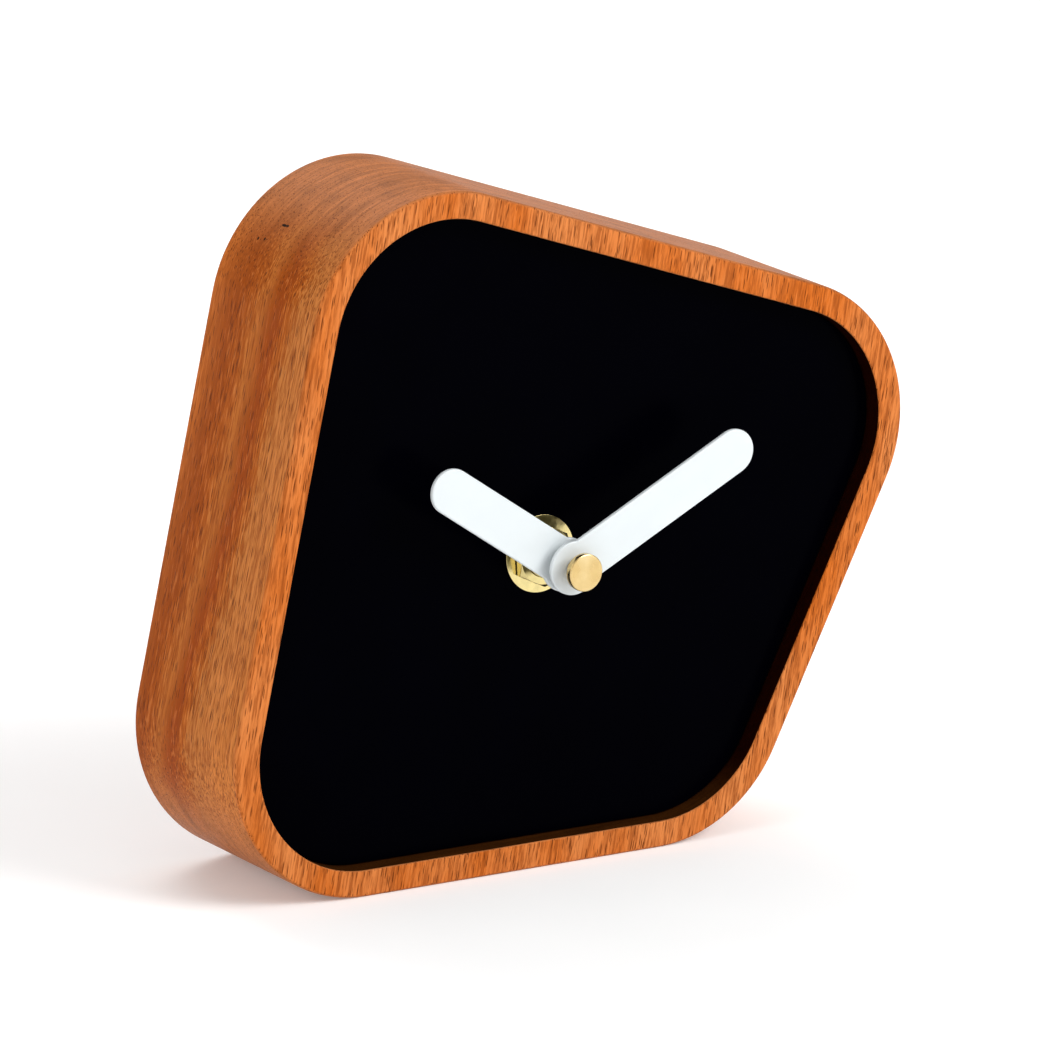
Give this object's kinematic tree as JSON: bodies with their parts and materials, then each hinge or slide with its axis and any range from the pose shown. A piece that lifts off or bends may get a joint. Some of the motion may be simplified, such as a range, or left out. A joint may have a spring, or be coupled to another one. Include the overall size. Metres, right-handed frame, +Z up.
{
  "type": "analogue quartz desk clock",
  "caption": "Free-standing desk clock: round-cornered four-sided wooden block case, plain recessed dial, two bar hands on a brass-fitted centre shaft, rear quartz movement.",
  "frame": {"origin": "bottom centre of the clock's bounding box, on the plane it stands on", "axes": "+Z up, +X to the viewer's right when facing the dial, +Y from the dial towards the back"},
  "size_m": [0.1474, 0.0498, 0.133],
  "materials": {
    "beech": "oiled, fine dark pore flecks",
    "dial_black": "semi-gloss black",
    "hand_white": "satin white paint on 1 mm sheet",
    "brass": "polished, turned",
    "black_plastic": "fine moulded",
    "white_plastic": "smooth moulded",
    "natural_plastic": "smooth moulded",
    "steel": "bright",
    "copper_wire": "enamelled copper wire",
    "board_green": "solder mask",
    "rubber": "matt",
    "cell_steel": null,
    "cell_wrap": "shrink film"
  },
  "bodies": {
    "case": {"wood_case": "beech", "dial_plate": "dial_black", "fixing_washer": "brass", "fixing_nut": "brass", "threaded_bush": "brass", "rubber_gasket": "rubber", "movement_case": "black_plastic", "movement_cover": "black_plastic", "middle_plate": "natural_plastic", "stator": "steel", "coil_core": "steel", "coil_bobbin": "white_plastic", "coil_winding": "copper_wire", "circuit_board": "board_green", "quartz_crystal": "steel", "chip_cap": "black_plastic", "contact_positive": "steel", "contact_negative": "steel"},
    "minute": {"minute_hand": "hand_white", "minute_arbor": "steel", "cap_nut": "brass"},
    "hour": {"hour_hand": "hand_white", "hour_wheel": "white_plastic"},
    "motion": {"motion_wheel": "white_plastic"},
    "knob": {"setting_knob": "black_plastic"},
    "centre": {"centre_wheel": "brass"},
    "third": {"third_wheel": "white_plastic"},
    "seconds": {"seconds_wheel": "white_plastic"},
    "intermediate": {"intermediate_wheel": "white_plastic"},
    "rotor": {"rotor_pinion": "white_plastic", "rotor_magnet": "steel"},
    "battery": {"battery_cell": "cell_steel", "battery_wrap": "cell_wrap"}
  },
  "joints": [
    {"name": "minute_hand_turn", "type": "hinge", "parent": "case", "child": "minute", "pos_m": [-0.00589, -0.021, 0.0605], "axis": [0, 1, 0], "continuous": true},
    {"name": "hour_hand_turn", "type": "hinge", "parent": "case", "child": "hour", "pos_m": [-0.00589, -0.0183, 0.0605], "axis": [0, 1, 0], "continuous": true},
    {"name": "motion_wheel_turn", "type": "hinge", "parent": "case", "child": "motion", "pos_m": [0.002, 0.0033, 0.05763], "axis": [0, 1, 0], "continuous": true},
    {"name": "setting_knob_turn", "type": "hinge", "parent": "case", "child": "knob", "pos_m": [0.0074, 0.0155, 0.06406], "axis": [0, 1, 0], "continuous": true},
    {"name": "seconds_wheel_turn", "type": "hinge", "parent": "case", "child": "seconds", "pos_m": [-0.00589, 0.0088, 0.0605], "axis": [0, 1, 0], "continuous": true},
    {"name": "third_wheel_turn", "type": "hinge", "parent": "case", "child": "third", "pos_m": [-0.0129, 0.0075, 0.06455], "axis": [0, 1, 0], "continuous": true},
    {"name": "centre_wheel_turn", "type": "hinge", "parent": "case", "child": "centre", "pos_m": [-0.00589, 0.0047, 0.0605], "axis": [0, 1, 0], "continuous": true},
    {"name": "intermediate_wheel_turn", "type": "hinge", "parent": "case", "child": "intermediate", "pos_m": [-0.00453, 0.0104, 0.06822], "axis": [0, 1, 0], "continuous": true},
    {"name": "rotor_turn", "type": "hinge", "parent": "case", "child": "rotor", "pos_m": [0.00179, 0.0074, 0.07052], "axis": [0, 1, 0], "continuous": true},
    {"name": "battery_slide", "type": "slide", "parent": "case", "child": "battery", "axis": [0, 1, 0], "range_m": [0, 0.024]}
  ],
  "couplings": [
    {"joint": "hour_hand_turn", "follows": "minute_hand_turn", "ratio": 0.083333},
    {"joint": "motion_wheel_turn", "follows": "minute_hand_turn", "ratio": -0.33333},
    {"joint": "setting_knob_turn", "follows": "minute_hand_turn", "ratio": 1},
    {"joint": "intermediate_wheel_turn", "follows": "rotor_turn", "ratio": -0.2},
    {"joint": "seconds_wheel_turn", "follows": "rotor_turn", "ratio": 0.033333},
    {"joint": "third_wheel_turn", "follows": "rotor_turn", "ratio": -0.0044444},
    {"joint": "centre_wheel_turn", "follows": "rotor_turn", "ratio": 0.00055556}
  ]
}
